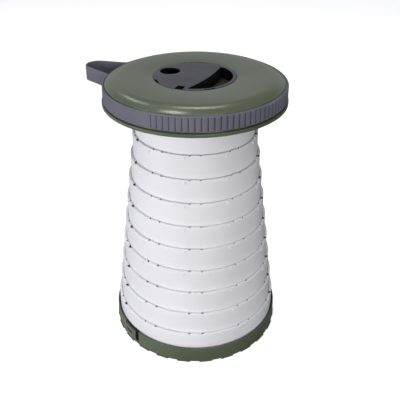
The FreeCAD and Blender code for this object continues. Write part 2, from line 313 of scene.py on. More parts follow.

# painted shade: darker copies of the finishes for faces that lie in shade, in the insert, the pan under it,
# the rings and the base's catch
# near-black slate painted as shade on the insert's opening walls and underside, its liner and the wall under
# its bar
slateShadeLook = dict(slateLook, dark=(0.006, 0.006, 0.007), light=(0.010, 0.010, 0.011),
                       worn=(0.02, 0.02, 0.02), roughLow=0.7, roughHigh=0.85, gloss=0.1)
slateShade = mouldedPlastic("slateShade", slateShadeLook)
# the pan's sage, darkened as painted shade
panShadeLook = dict(sageLook, dark=(0.032, 0.038, 0.024), light=(0.042, 0.049, 0.032),
               roughLow=0.5, roughHigh=0.65, gloss=0.15)
panShadePlastic = mouldedPlastic("panShadeMoulding", panShadeLook)
# dark grey painted as shade on the rings' inner faces
ringInsideShadeLook = dict(shellWhiteLook, dark=(0.045, 0.045, 0.050), light=(0.060, 0.060, 0.066),
                      worn=(0.08, 0.08, 0.09), roughLow=0.6, roughHigh=0.8, gloss=0.15)
ringInsideShade = mouldedPlastic("ringInsideShade", ringInsideShadeLook)
# near-black sage painted as shade in the catch's recess and slot
catchRecessShadeLook = dict(sageLook, dark=(0.010, 0.013, 0.008), light=(0.015, 0.019, 0.012),
                       worn=(0.03, 0.03, 0.03), roughLow=0.5, roughHigh=0.7, gloss=0.1)
catchRecessShade = mouldedPlastic("catchRecessShade", catchRecessShadeLook)


def softRubber(name, look):
    material, tree, shader, place = startMaterial(name)
    cloudy = noiseAt(tree, place, look["cloudScale"], detail=5.0)
    colour = rampBetween(tree, cloudy, look["dark"], look["light"], rampEnds["colour"])
    colour = wornEdges(tree, colour, look["dust"], look["dusting"])
    tree.links.new(colour, shader.inputs["Base Color"])
    handled = noiseAt(tree, place, look["handledScale"], detail=4.0)
    tree.links.new(spread(tree, handled, look["roughLow"], look["roughHigh"]), shader.inputs["Roughness"])
    grain = noiseAt(tree, place, look["grainScale"], detail=2.0)
    grain = bumpFrom(tree, grain, look["grainDepth"], look["grainStrength"])
    dents = noiseAt(tree, place, look["dentScale"], detail=2.0)
    dents = bumpFrom(tree, dents, look["dentDepth"], look["dentStrength"], grain)
    tree.links.new(dents, shader.inputs["Normal"])
    shader.inputs["Specular IOR Level"].default_value = look["gloss"]
    return material


bandLook = dict(
    dark=(0.129, 0.127, 0.159),
    light=(0.146, 0.144, 0.180),
    dust=(0.18, 0.18, 0.21),
    dusting=0.12,
    cloudScale=30.0,
    handledScale=60.0,
    roughLow=0.58,
    roughHigh=0.68,
    grainScale=2200.0,
    grainDepth=0.00004,
    grainStrength=0.5,
    dentScale=90.0,
    dentDepth=0.0002,
    dentStrength=0.3,
    gloss=0.14,
)
bandRubber = softRubber("bandRubber", bandLook)

# between the ribs, painted darker as shade
bandValleyShadeLook = dict(bandLook, dark=(0.058, 0.057, 0.072), light=(0.068, 0.067, 0.084), dusting=0.02,
                      gloss=0.12)
bandValleyShade = softRubber("bandValleyShade", bandValleyShadeLook)

footLook = dict(bandLook, dark=(0.040, 0.044, 0.036), light=(0.060, 0.066, 0.054), dust=(0.16, 0.15, 0.13),
                dusting=0.5, cloudScale=40.0, roughLow=0.6, roughHigh=0.8, gloss=0.3)
footRubber = softRubber("footRubber", footLook)


def platedSteel(name, look):
    material, tree, shader, place = startMaterial(name)
    cloudy = noiseAt(tree, place, look["cloudScale"])
    colour = rampBetween(tree, cloudy, look["dark"], look["light"], rampEnds["colour"])
    tree.links.new(colour, shader.inputs["Base Color"])
    shader.inputs["Metallic"].default_value = 1.0
    smudge = noiseAt(tree, place, look["smudgeScale"])
    tree.links.new(spread(tree, smudge, look["roughLow"], look["roughHigh"]), shader.inputs["Roughness"])
    brushed = noiseAt(tree, place, look["brushScale"], detail=2.0, stretch=look["brushStretch"])
    brushed = bumpFrom(tree, brushed, look["brushDepth"], look["brushStrength"])
    tree.links.new(brushed, shader.inputs["Normal"])
    return material


zincLook = dict(
    dark=(0.52, 0.52, 0.53),
    light=(0.68, 0.68, 0.70),
    cloudScale=300.0,
    smudgeScale=500.0,
    roughLow=0.28,
    roughHigh=0.42,
    brushScale=900.0,
    brushStretch=(1, 1, 6),
    brushDepth=0.00003,
    brushStrength=0.4,
)
steelPlate = platedSteel("zincSteel", zincLook)
print("materials made")


# pieces of the frame that keep their CAD shape get a finish here
plainNodes = dict(
    foot_pads=footRubber,
    base_plate=sagePlastic,
    floor_plate=sagePlastic,
    base_screws=steelPlate,
    base_nuts=steelPlate,
    seat_spigot=ringPlastic,
    # the pan under the insert takes the darkened sage, a painted shade
    grip_cup=panShadePlastic,
    seat_screws=steelPlate,
)
for nodeName, material in plainNodes.items():
    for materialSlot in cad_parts[nodeName].material_slots:
        materialSlot.material = material


# rings

ring = dict(
    count=10,
    lowestRadius=122.4,
    stepIn=4.1,  # how much smaller each next ring is
    wall=2.0,
    edge=0.35,
    bevelDrop=6.0,  # the outline's last plain corner, below the top
    azimuthStep=2.0,
    lipReach=3.6,  # how far the lip leans in over the next smaller ring
    lipThick=1.5,
    lipHeight=4.2,
    lipSlant=0.1,
    firstUnit=-66.6,  # azimuth of the first tongue
    units=10,
    unitShift={2: -1.0, 8: 4.5, 9: 2.0},  # degrees by which some tongues stand off their tenth of the circle
    openUnits=(2, 5, 8),  # these have an open slit on one side
    tongueHalf=4.6,  # degrees from a tongue's middle to its slits
    tongueRise=0.4,
    slitWidth=3.0,
    slitDepth=1.1,
    slitReach=0.2,  # how far the rim runs in past the wall at a slit
    slitFlank=0.12,  # degrees that a slit's side takes
    openWidth=5.6,
    openDepth=2.3,
    insideShare=0.6,  # share of the wall, from outside, that keeps the outer finish; the faces further in are painted dark as shade
    insideDrop=0.2,
)

nub = dict(
    turn=-9.0,  # degrees from the tongue's middle
    drop=4.5,
    width=2.6,
    height=4.2,
    proud=1.2,
    lowProud=0.45,  # on the lowest ring, which the seat's skirt passes when folded
    sunk=0.3,
    columns=16,
    profile=((0.0, 1.0), (0.62, 0.97), (0.85, 0.84), (0.97, 0.62), (1.0, 0.3)),  # (share of height, of size)
)


def unitMiddle(unit):
    return ring["firstUnit"] + unit * 360.0 / ring["units"] + ring["unitShift"].get(unit, 0.0)


def slits(radius):
    # middle, half width in degrees, and depth of each slit
    found = []
    for unit in range(ring["units"]):
        for side in (-1, 1):
            kind = "open" if side > 0 and unit in ring["openUnits"] else "slit"
            half = math.degrees(ring[kind + "Width"] / 2 / radius)
            found.append((unitMiddle(unit) + side * ring["tongueHalf"], half, ring[kind + "Depth"]))
    return found


def ringAzimuths(radius):
    angles = everyDegrees(ring["azimuthStep"], ring["firstUnit"])
    for slit, half, _ in slits(radius):
        for edge in (half, half + ring["slitFlank"]):
            angles += [slit - edge, slit + edge]
    return sorted(set(round(angle % 360.0, 4) for angle in angles))  # rounded so that none comes twice


def rimLift(azimuth, radius):
    # height of the rim's edge against its level: up on the tongues, down in their slits
    for slit, half, depth in slits(radius):
        if abs(wrapped(azimuth - slit)) < half + ring["slitFlank"] / 2:
            return -depth
    for unit in range(ring["units"]):
        if abs(wrapped(azimuth - unitMiddle(unit))) < ring["tongueHalf"]:
            return ring["tongueRise"]
    return 0.0


def addNub(mesh, radius, azimuth, level, proud):
    # a small upright pip that rises gently from one side, sunk into the wall
    across = math.degrees(nub["width"] / 2 / radius)
    loops = []
    for lift, size in nub["profile"]:
        loop = []
        for column in range(nub["columns"]):
            turn = 2 * math.pi * column / nub["columns"]
            wide = across * (size * math.cos(turn) + 1 - size)
            tall = nub["height"] / 2 * size * math.sin(turn)
            out = radius - nub["sunk"] + lift * (proud + nub["sunk"])
            loop.append(mesh.verts.new(spot(out, azimuth + wide, level + tall)))
        loops.append(loop)
    skinLoops(mesh, loops)


def makeRing(number):
    low, high = boxOf("ring_%d" % number)
    bottom, top = low.z, high.z
    isLowest = number == ring["count"]
    radius = ring["lowestRadius"] - (ring["count"] - number) * ring["stepIn"]
    edge = ring["edge"]

    def outlineAt(azimuth):
        lift = rimLift(azimuth, radius)
        rim = top + lift
        inner = radius - (ring["wall"] + ring["slitReach"] if lift < 0 else ring["lipReach"])
        return [
            (radius - ring["wall"], bottom),
            (radius - edge, bottom),
            (radius, bottom + edge),
            (radius, top - ring["bevelDrop"]),
            (radius, rim - edge),
            (radius - edge * softShare, rim - edge * softShare),
            (radius - edge, rim),
            (inner + edge, rim),
            (inner + edge * softShare, rim - edge * softShare),
            (inner, rim - edge),
            (inner + ring["lipSlant"], rim - ring["lipThick"]),
            (radius - ring["wall"], top - ring["lipHeight"]),
        ]

    # inner faces below the rim take the dark grey painted as shade
    def isShaded(r, z):
        return r < radius - ring["wall"] * ring["insideShare"] and z < top - edge - ring["insideDrop"]

    mesh = turnedMesh(outlineAt, ringAzimuths(radius))
    for unit in range(ring["units"]):
        addNub(mesh, radius, unitMiddle(unit) + nub["turn"], top - nub["drop"],
               nub["lowProud"] if isLowest else nub["proud"])
    body = "base" if isLowest else "stage_%d" % number
    finishPiece("ringShell_%d" % number, mesh, ringPlastic, body, "ring_%d" % number,
                shadeMaterial=ringInsideShade, isShaded=isShaded)


for number in range(1, ring["count"] + 1):
    makeRing(number)
print("rings made")


# seat

seat = dict(
    flatRadius=103.2,
    domeRadius=123.8,
    domeFall=6.1,
    domeSteps=18,
    edgeRound=1.2,
    grooveFloor=392.3,  # level at which the top meets the skirt
    grooveRadius=124.2,
    grooveStep=0.4,
    grooveRound=0.1,
    underRadius=120.0,
    plate=3.6,  # thickness of the top
    holeRadius=57.55,
    holeRound=0.6,
    azimuthStep=2.0,
)

skirt = dict(
    inner=123.0,
    outer=124.2,
    lipRadius=128.9,
    lipDrop=1.1,  # the lip's foot, below the solid's
    lipShelf=3.4,  # the lip's top, above the solid's foot
    footRound=0.3,
    lipRound=0.5,
    shelfRound=0.4,
    cornerRound=0.2,
)


def makeSeatTop():
    level = boxOf("seat_top")[1].z
    fall = seat["domeFall"]
    flatEnd = seat["flatRadius"]
    width = seat["domeRadius"] - flatEnd
    arcRadius = (width ** 2 + fall ** 2) / (2 * fall)
    sweep = 2 * math.atan(fall / width)
    dome = []
    for step in range(seat["domeSteps"]):
        angle = sweep * step / seat["domeSteps"]
        dome.append((flatEnd + arcRadius * math.sin(angle), level - arcRadius * (1 - math.cos(angle)), 0))
    floor = seat["grooveFloor"]
    outline = roundedOutline(dome + [
        (seat["domeRadius"], level - fall, seat["edgeRound"]),
        (seat["domeRadius"], floor + seat["grooveStep"], seat["grooveRound"]),
        (seat["grooveRadius"], floor + seat["grooveStep"], 0),
        (seat["grooveRadius"], floor, 0),
        (seat["underRadius"], floor, 0),
        (flatEnd, level - seat["plate"], 0),
        (seat["holeRadius"], level - seat["plate"], 0),
        (seat["holeRadius"], level, seat["holeRound"]),
    ])
    mesh = turnedMesh(lambda azimuth: outline, everyDegrees(seat["azimuthStep"]))
    finishPiece("seatTop", mesh, sagePlastic, "seat", "seat_top")


def makeSeatRim():
    solidFoot = boxOf("seat_rim")[0].z
    low = solidFoot - skirt["lipDrop"]
    shelf = solidFoot + skirt["lipShelf"]
    outline = roundedOutline([
        (skirt["inner"], low, skirt["footRound"]),
        (skirt["lipRadius"], low, skirt["lipRound"]),
        (skirt["lipRadius"], shelf, skirt["shelfRound"]),
        (skirt["outer"], shelf, skirt["cornerRound"]),
        (skirt["outer"], seat["grooveFloor"], 0),
        (skirt["inner"], seat["grooveFloor"], 0),
    ])
    mesh = turnedMesh(lambda azimuth: outline, everyDegrees(seat["azimuthStep"]))
    finishPiece("seatRim", mesh, sagePlastic, "seat", "seat_rim")


makeSeatTop()
makeSeatRim()
print("seat made")


# band round the seat: the ribbed piece, and the belt that runs out into the carrying loop

band = dict(
    inner=124.3,
    thickness=2.6,
    smooth=3.1,  # thickness beyond the ribs
    innerEdge=0.3,
    cornerRound=0.9,
    cornerRise=0.4,  # share of a rib's height that its ends have at the corner
    bandHalf=98.97,  # degrees from the middle to the piece's ends
    azimuthStep=0.3,
    ribHalf=91.8,  # degrees from the middle to the last rib
    ribEase=0.6,  # degrees on each side of there in which the thickness changes
    ribPitch=3.6,
    ribHeight=1.1,
    ribSlope=0.57,  # share of half a pitch that a rib's side takes
    ribFade=1.6,
    valleyShare=0.38,  # share of a rib's height, from the valley, up to which the faces are painted darker as shade
    valleyInset=1.8,
)
bandLow, bandHigh = boxOf("ribbed_band")


def ribLift(azimuth):
    count = round(2 * band["ribHalf"] / band["ribPitch"])
    position = azimuth / band["ribPitch"] + count / 2
    if position < 0 or position > count:
        return 0.0
    share = abs(position % 1.0 - 0.5) * 2  # 0 on a crest and 1 in a valley
    return 1.0 - easedStep(share, 1.0 - band["ribSlope"], 1.0)


def makeRibbedBand():
    low, high = bandLow.z, bandHigh.z
    corner = band["cornerRound"]
    inner = band["inner"]
    edge = band["innerEdge"]

    def outlineAt(azimuth):
        plain = easedStep(abs(azimuth), band["ribHalf"] - band["ribEase"], band["ribHalf"] + band["ribEase"])
        valley = inner + between(band["thickness"], band["smooth"], plain)
        crest = valley + band["ribHeight"] * ribLift(azimuth)
        rise = between(valley, crest, band["cornerRise"])
        return [
            (inner, low + edge),
            (inner + edge, low),
            (valley - corner, low),
            (valley - corner * softShare, low + corner * softShare),
            (rise, low + corner),
            (crest, low + band["ribFade"]),
            (crest, high - band["ribFade"]),
            (rise, high - corner),
            (valley - corner * softShare, high - corner * softShare),
            (valley - corner, high),
            (inner + edge, high),
            (inner, high - edge),
        ]

    # faces low between the ribs take the darker rubber painted as shade
    def isValleyShade(r, z):
        deep = inner + band["thickness"] + band["ribHeight"] * band["valleyShare"]
        return r < deep and low + band["valleyInset"] < z < high - band["valleyInset"]

    half = band["bandHalf"]
    mesh = turnedMesh(outlineAt, everyDegrees(band["azimuthStep"], -half, 2 * half), closed=False)
    finishPiece("ribbedBand", mesh, bandRubber, "seat", "ribbed_band",
                shadeMaterial=bandValleyShade, isShaded=isValleyShade)


strap = dict(
    thickness=2.7,
    innerEdge=0.3,
    halfAngle=81.0,  # degrees from the loop's side to where the belt meets the ribbed piece
    tuck=0.6,  # degrees that the ends run on under the ribbed piece
    tuckDepth=0.04,
    noseReach=159.2,  # from the stool's axis to the middle of the loop's round end
    noseSide=6.6,  # how far that middle stands to the rear
    noseRadius=17.8,  # of the round end's outer face
    frontSlope=21.0,  # degrees that each strand stands off the X axis
    rearSlope=10.0,
    azimuthStep=1.0,
    strandSteps=18,
    noseSteps=26,
    roundSteps=3,
    easing=3,
)


def strapRim(offset):  # radius of a line in the belt where it lies on the seat
    return band["inner"] + band["smooth"] - strap["tuckDepth"] - offset


def strapStrand(side, offset):
    # where one strand leaves the nose and where it meets the rim, seen from above
    slope = math.radians(strap["frontSlope"] if side < 0 else strap["rearSlope"])
    centre = Vector((-strap["noseReach"], strap["noseSide"]))
    radius = strap["noseRadius"] - offset
    normal = Vector((-math.sin(slope), side * math.cos(slope)))
    along = Vector((math.cos(slope), side * math.sin(slope)))
    leave = centre + normal * radius
    reach = -leave.dot(along)
    root = leave + along * (reach - math.sqrt(strapRim(offset) ** 2 - leave.dot(leave) + reach ** 2))
    return leave, root


def strapMiddleLine():
    # the belt's middle line seen from above, from its front end round the nose to its rear end
    offset = strap["thickness"] / 2
    rim = strapRim(offset)
    endAngle = strap["halfAngle"] + strap["tuck"]
    frontLeave, frontRoot = strapStrand(-1, offset)
    rearLeave, rearRoot = strapStrand(1, offset)
    frontAngle = math.degrees(math.atan2(frontRoot.y, frontRoot.x)) % 360
    rearAngle = math.degrees(math.atan2(rearRoot.y, rearRoot.x)) % 360
    steps = strap["strandSteps"]
    line = [planSpot(rim, angle) for angle in
            everyDegrees(strap["azimuthStep"], 180 + endAngle, frontAngle - 180 - endAngle)]
    line += [between(frontRoot, frontLeave, n / steps) for n in range(1, steps)]
    centre = Vector((-strap["noseReach"], strap["noseSide"]))
    start = frontLeave - centre
    end = rearLeave - centre
    first = math.atan2(start.y, start.x)
    sweep = (math.atan2(end.y, end.x) - first) % (2 * math.pi) - 2 * math.pi
    for n in range(strap["noseSteps"] + 1):
        angle = first + sweep * n / strap["noseSteps"]
        line.append(centre + Vector((math.cos(angle), math.sin(angle))) * start.length)
    line += [between(rearLeave, rearRoot, n / steps) for n in range(1, steps)]
    line += [planSpot(rim, angle) for angle in
             everyDegrees(strap["azimuthStep"], rearAngle, 180 - endAngle - rearAngle)]
    return line


def easedLine(line, passes):  # each pass draws every point towards its neighbours
    for _ in range(passes):
        inner = [(a + 2 * b + c) / 4 for a, b, c in zip(line, line[1:], line[2:])]
        line = [line[0]] + inner + [line[-1]]
    return line


def makeCarryStrap():
    low, high = bandLow.z, bandHigh.z
    half = strap["thickness"] / 2
    edge = strap["innerEdge"]
    outer = band["cornerRound"]
    corners = [(-half, low, edge), (half, low, outer), (half, high, outer), (-half, high, edge)]
    section = roundedOutline(corners, strap["roundSteps"])
    line = easedLine(strapMiddleLine(), strap["easing"])
    mesh = bmesh.new()
    loops = []
    for index, point in enumerate(line):
        before = line[max(index - 1, 0)]
        after = line[min(index + 1, len(line) - 1)]
        along = (after - before).normalized()
        side = Vector((along.y, -along.x))
        loop = []
        for across, height in section:
            place = point + side * across
            loop.append(mesh.verts.new(Vector((place.x, place.y, height)) * mm))
        loops.append(loop)
    skinLoops(mesh, loops)
    finishPiece("carryStrap", mesh, bandRubber, "seat", "carry_strap")


makeRibbedBand()
makeCarryStrap()
print("band and strap made")


# grip insert

insert = dict(
    turn=-5.0,
    radius=57.3,
    rim=5.2,
    plate=3.0,
    edgeRound=0.45,
    edgeSteps=3,
    azimuthStep=2.0,
    lit=0.9,  # depth of the edge round the openings that keeps the slate finish; below it the faces are painted near-black as shade
    gapDepth=2.8,
    gapEase=1.0,
    gaps=((97.8, 128.0), (131.4, 138.3), (224.0, 238.0), (311.0, 327.0)),  # azimuths before the turn
    notchAzimuth=275.8,
    notchWidth=10.6,
    notchDepth=13.4,
    thumbRadius=14.0,
    thumbReach=39.5,
    thumbCorners=48,
    openingStep=2.5,
    farRound=3.2,  # corners of the finger opening
    nearRound=1.6,
    roundSteps=6,
    searchFrom=0.4,  # share of half the bar at which the search for an opening's corner starts
    halvings=40,
)

insertBar = dict(
    reach=20.0,  # from the stool's axis to the middle of the bar's bowed edge
    bow=5.0,
    steps=28,
    wall=2.6,
    wallSteps=40,
    wallShort=0.6,  # each end of the wall stops this far short of the round skirt
    wallLift=0.05,
)

insertSkirt = dict(
    azimuthStep=3.0,
    proud=0.15,
    sunk=0.2,
    linerDrop=0.5,  # the thin liner round the plate, painted near-black as shade, ends this far below its face
)


def insertEdge():
    # outer edge of the plate, with the shallow gaps and the square notch
    half = math.degrees(insert["notchWidth"] / 2 / insert["radius"])
    middle = insert["notchAzimuth"]
    ease = insert["gapEase"]

    def edgePoints(first, last):
        points = []
        for angle in everyDegrees(insert["azimuthStep"]):
            if not first <= angle <= last:
                continue
            radius = insert["radius"]
            for start, end in insert["gaps"]:
                rise = easedStep(angle, start - ease, start + ease)
                radius -= insert["gapDepth"] * rise * (1 - easedStep(angle, end - ease, end + ease))
            points.append(planSpot(radius, angle))
        return points

    outer = insert["radius"] * math.cos(math.radians(half))
    inner = insert["radius"] - insert["notchDepth"]
    across = insert["notchWidth"] / 2
    notch = [Vector(turnedBy(reach, side, middle)) for reach, side in
             ((outer, -across), (inner, -across), (inner, across), (outer, across))]
    return edgePoints(0, middle - half) + notch + edgePoints(middle + half, 360)


def circlePoints(radius, centre, count):
    return [centre + planSpot(radius, 360.0 * n / count) for n in range(count)]


def barEdge(across, half):  # the bowed edge of the bar
    return insertBar["reach"] - insertBar["bow"] * (across / half) ** 2


def barHalf(radius):  # half the bar's length inside a circle
    return math.sqrt(radius ** 2 - (insertBar["reach"] - insertBar["bow"]) ** 2)


def openingCorner(radius, half, fillet, side):
    # centre of the fillet between the round side and the bar, found by halving
    low, high = insert["searchFrom"] * half, half
    for _ in range(insert["halvings"]):
        across = (low + high) / 2
        slope = 2 * insertBar["bow"] * across / half ** 2
        centre = Vector((barEdge(across, half) + fillet * math.sqrt(1 + slope ** 2), side * across))
        if centre.length < radius - fillet:
            low = across
        else:
            high = across
    return centre


def fingerOpening(radius):
    # crescent between the inner edge of the rim and the bar, with its two corners rounded
    half = barHalf(radius)
    near = openingCorner(radius, half, insert["nearRound"], -1)
    far = openingCorner(radius, half, insert["farRound"], 1)
    first = math.degrees(math.atan2(near.y, near.x))
    last = math.degrees(math.atan2(far.y, far.x))

    def fillet(centre, reach, start, sweep):
        steps = insert["roundSteps"]
        return [centre + planSpot(reach, start + sweep * n / steps) for n in range(1, steps)]

    steps = insertBar["steps"]
    acrossBar = [between(far.y, near.y, n / steps) for n in range(steps + 1)]
    points = [planSpot(radius, angle) for angle in everyDegrees(insert["openingStep"], first, last - first)]
    points += fillet(far, insert["farRound"], last, 180.0 - last)
    points += [Vector((barEdge(across, half), across)) for across in acrossBar]
    points += fillet(near, insert["nearRound"], 180.0, first + 180.0)
    return points


def plateFrom(name, loops, low, high):
    # flat plate with holes: a filled curve, pulled up and given rounded edges
    bevel = insert["edgeRound"] * mm
    curve = bpy.data.curves.new(name, "CURVE")
    curve.dimensions = "2D"
    curve.fill_mode = "BOTH"
    curve.extrude = (high - low) / 2 * mm - bevel
    curve.bevel_depth = bevel
    curve.bevel_resolution = insert["edgeSteps"]
    curve.offset = -bevel
    for loop in loops:
        spline = curve.splines.new("POLY")
        spline.points.add(len(loop) - 1)
        for point, place in zip(spline.points, loop):
            point.co = (place.x * mm, place.y * mm, 0, 1)
        spline.use_cyclic_u = True
    holder = bpy.data.objects.new(name, curve)
    bpy.context.scene.collection.objects.link(holder)
    bpy.context.view_layer.update()
    data = bpy.data.meshes.new_from_object(holder.evaluated_get(bpy.context.evaluated_depsgraph_get()))
    bpy.data.objects.remove(holder)
    mesh = bmesh.new()
    mesh.from_mesh(data)
    bpy.data.meshes.remove(data)
    for vert in mesh.verts:
        x, y, z = vert.co
        vert.co = Vector((*turnedBy(x, y, insert["turn"]), z + (low + high) / 2 * mm))
    return mesh


def makeInsertPlate(under, top):
    thumb = circlePoints(insert["thumbRadius"], Vector((-insert["thumbReach"], 0)), insert["thumbCorners"])
    opening = fingerOpening(insert["radius"] - insert["rim"])
    mesh = plateFrom("insertPlate", [insertEdge(), thumb, opening], under, top)
    # the openings' walls and the plate's underside take the near-black slate painted as shade
    finishPiece("insertPlate", mesh, slatePlastic, "seat", "grip_insert",
                shadeMaterial=slateShade, isShaded=lambda r, z: z < top - insert["lit"])


def makeInsertSkirt(low, under, top, inner):
    outside = insert["radius"] + insertSkirt["proud"]
    liner = insert["radius"] - insertSkirt["sunk"]
    linerTop = top - insertSkirt["linerDrop"]
    outline = [
        (inner, low),
        (outside, low),
        (outside, linerTop),
        (liner, linerTop),
        (liner, under),
        (inner, under),
    ]
    mesh = turnedMesh(lambda azimuth: outline, everyDegrees(insertSkirt["azimuthStep"]))
    # the skirt and its liner take the near-black slate painted as shade
    finishPiece("insertSkirt", mesh, slateShade, "seat", "grip_insert")


def makeInsertBarWall(low, under, inner):
    mesh = bmesh.new()
    half = barHalf(inner) - insertBar["wallShort"]
    foot = low + insertBar["wallLift"]
    rows = []
    for n in range(insertBar["wallSteps"] + 1):
        across = between(-half, half, n / insertBar["wallSteps"])
        front = barEdge(across, half)
        back = front - insertBar["wall"]
        row = []
        for reach, height in ((back, foot), (front, foot), (front, under), (back, under)):
            row.append(mesh.verts.new(Vector((*turnedBy(reach, across, insert["turn"]), height)) * mm))
        rows.append(row)
    skinLoops(mesh, rows)
    # the bar's wall takes the near-black slate painted as shade
    finishPiece("insertBarWall", mesh, slateShade, "seat", "grip_insert")


def makeGripInsert():
    lowCorner, highCorner = boxOf("grip_insert")
    low, top = lowCorner.z, highCorner.z
    under = top - insert["plate"]
    inner = insert["radius"] - insert["rim"] / 2
    makeInsertPlate(under, top)
    makeInsertSkirt(low, under, top, inner)
    makeInsertBarWall(low, under, inner)


makeGripInsert()
print("grip insert made")


# base

base = dict(
    socketRadius=122.7,
    grooveRadius=124.9,
    grooveDepth=14.1,
    grooveEdge=0.3,
    rimRadius=126.3,
    bottomRadius=126.6,
    rimDrop=0.9,  # the rim's edge, below the solid's
    rimRound=((0.0, 0.6), (0.18, 0.15), (0.5, 0.0)),  # its outer corner, in and down
    footDrop=0.9,  # the wall's foot, below the solid's
    footRound=((0.6, 0.0), (0.05, 0.5)),  # in and up
    ledge=5.7,
    ledgeLow=3.0,
    ledgeHigh=4.0,
    recessWall=0.8,
    recessSkin=0.3,
    recessHeight=12.0,  # above this the catch's recess and the faces inward of it are painted near-black as shade
    azimuthStep=2.0,
    cutStep=0.02,  # half the degrees that a steep side takes
    stepRise=0.01,  # slant of the recess's lower face
)

catch = dict(
    azimuth=240.3,
    width=28.4,
    low=5.5,
    high=21.0,
    depth=2.4,
    proud=0.9,
    gap=0.1,
    notchWidth=7.2,
    edge=0.6,
    endEase=0.5,
    columns=30,
    slotLength=15.0,
    slotAside=1.6,
    slotRise=0.9,
    slotHeight=3.4,
    slotDepth=2.0,
    slotSlant=0.05,
    slotSkin=0.7,
)


def degreesOf(length):  # a length along the base's wall
    return math.degrees(length / base["rimRadius"])


def stepsAround(*azimuths):  # two azimuths close together at each steep side
    return [azimuth + offset for azimuth in azimuths for offset in (-base["cutStep"], base["cutStep"])]


def makeBaseShell():
    solidLow, solidHigh = boxOf("base_shell")
    low = solidLow.z - base["footDrop"]
    high = solidHigh.z - base["rimDrop"]
    start = catch["azimuth"] - degreesOf(catch["width"] / 2 + catch["gap"])
    end = catch["azimuth"] + degreesOf(catch["width"] / 2 + catch["gap"] + catch["notchWidth"])
    socket = base["socketRadius"]
    recess = base["rimRadius"] - catch["depth"]
    step = catch["low"] - catch["gap"]
    slope = (base["bottomRadius"] - base["rimRadius"]) / (high - low)
    wallAtStep = base["rimRadius"] + slope * (high - step)
    foot = [(base["bottomRadius"] - across, low + up) for across, up in base["footRound"]]

    def outlineAt(azimuth):
        cut = start < azimuth < end
        groove = min(base["grooveRadius"], recess - base["recessWall"]) if cut else base["grooveRadius"]
        top = recess if cut else base["rimRadius"]
        rim = [(top - across, high - down) for across, down in base["rimRound"]]
        return [(socket, low)] + foot + [
            (wallAtStep, step),
            (recess if cut else wallAtStep, step + base["stepRise"]),
        ] + rim + [
            (groove + base["grooveEdge"], high),
            (groove, high - base["grooveEdge"]),
            (groove, high - base["grooveDepth"]),
            (socket, high - base["grooveDepth"]),
            (socket, base["ledgeHigh"]),
            (socket - base["ledge"], base["ledgeHigh"]),
            (socket - base["ledge"], base["ledgeLow"]),
            (socket, base["ledgeLow"]),
        ]

    mesh = turnedMesh(outlineAt, sorted(everyDegrees(base["azimuthStep"]) + stepsAround(start, end)))
    # the catch's recess and the rim's inner faces take the near-black sage painted as shade
    finishPiece("baseShell", mesh, sagePlastic, "base", "base_shell", shadeMaterial=catchRecessShade,
                isShaded=lambda r, z: r < recess + base["recessSkin"] and z > base["recessHeight"])


def makeBaseCatch():
    outer = base["rimRadius"] + catch["proud"]
    inner = base["rimRadius"] - catch["depth"]
    edge = catch["edge"]
    middle = (catch["low"] + catch["high"]) / 2 + catch["slotRise"]
    slotLow = middle - catch["slotHeight"] / 2
    slotHigh = middle + catch["slotHeight"] / 2
    half = degreesOf(catch["width"] / 2)
    slotHalf = degreesOf(catch["slotLength"] / 2)
    slotMiddle = catch["azimuth"] - degreesOf(catch["slotAside"])

    def outlineAt(azimuth):
        away = abs(azimuth - catch["azimuth"])
        face = outer - edge * easedStep(away, half - catch["endEase"], half)
        depth = catch["slotDepth"] if abs(azimuth - slotMiddle) < slotHalf else 0.0
        return [
            (inner, catch["low"]),
            (face - edge, catch["low"]),
            (face, catch["low"] + edge),
            (face, slotLow),
            (face - depth, slotLow + catch["slotSlant"]),
            (face - depth, slotHigh - catch["slotSlant"]),
            (face, slotHigh),
            (face, catch["high"] - edge),
            (face - edge, catch["high"]),
            (inner, catch["high"]),
        ]

    angles = everyDegrees(2 * half / catch["columns"], catch["azimuth"] - half, 2 * half)
    angles += stepsAround(slotMiddle - slotHalf, slotMiddle + slotHalf)
    mesh = turnedMesh(outlineAt, sorted(angles), closed=False)
    # the slot's inner faces take the near-black sage painted as shade
    finishPiece("baseCatch", mesh, sagePlastic, "base", "base_catch", shadeMaterial=catchRecessShade,
                isShaded=lambda r, z: r < outer - catch["slotSkin"] and abs(z - middle) < catch["slotHeight"])


makeBaseShell()
makeBaseCatch()
print("base made")


# floor, light and camera

view = dict(
    azimuth=23.4,
    elevation=26.81,
    distance=0.883,
    aimHeight=0.2830,
    focalPixels=606.6,
    roll=-0.2,  # degrees
    axisPixel=(195.25, 152.5),  # where the aim point on the stool's axis falls in the 400 pixel frame
    framePixels=400.0,
    sensorWidth=36.0,
    clipStart=0.01,
)

studio = dict(
    tint=(0.94, 0.95, 1.0),
    low=0.10,  # light from below the horizon
    high=0.23,
    wall=0.31,  # added by the bright wall behind the stool
    wallTop=0.455,  # height on a unit sphere, as are the two values of glowTop
    wallSides=(0.1, 0.5),  # how far to the back the wall starts and is full, straight back being 1
    horizon=0.04,  # half the height in which the light changes at each level
    glow=0.62,  # added by the bright floor on the left
    glowSide=(0.2, 0.9),  # the same to the left
    glowTop=(-0.15, 0.1),
    rightShare=0.5,  # what the room's right side keeps of its light
    rightSide=(0.3, 0.9),  # and to the right
)

paper = dict(
    reach=30.0,
    squares=8,
    cloudScale=3.0,
    dark=(0.94, 0.94, 0.94),
    light=(0.96, 0.96, 0.96),
    rough=0.9,
    gloss=0.1,
    glow=0.62,  # as paper lit from below
)

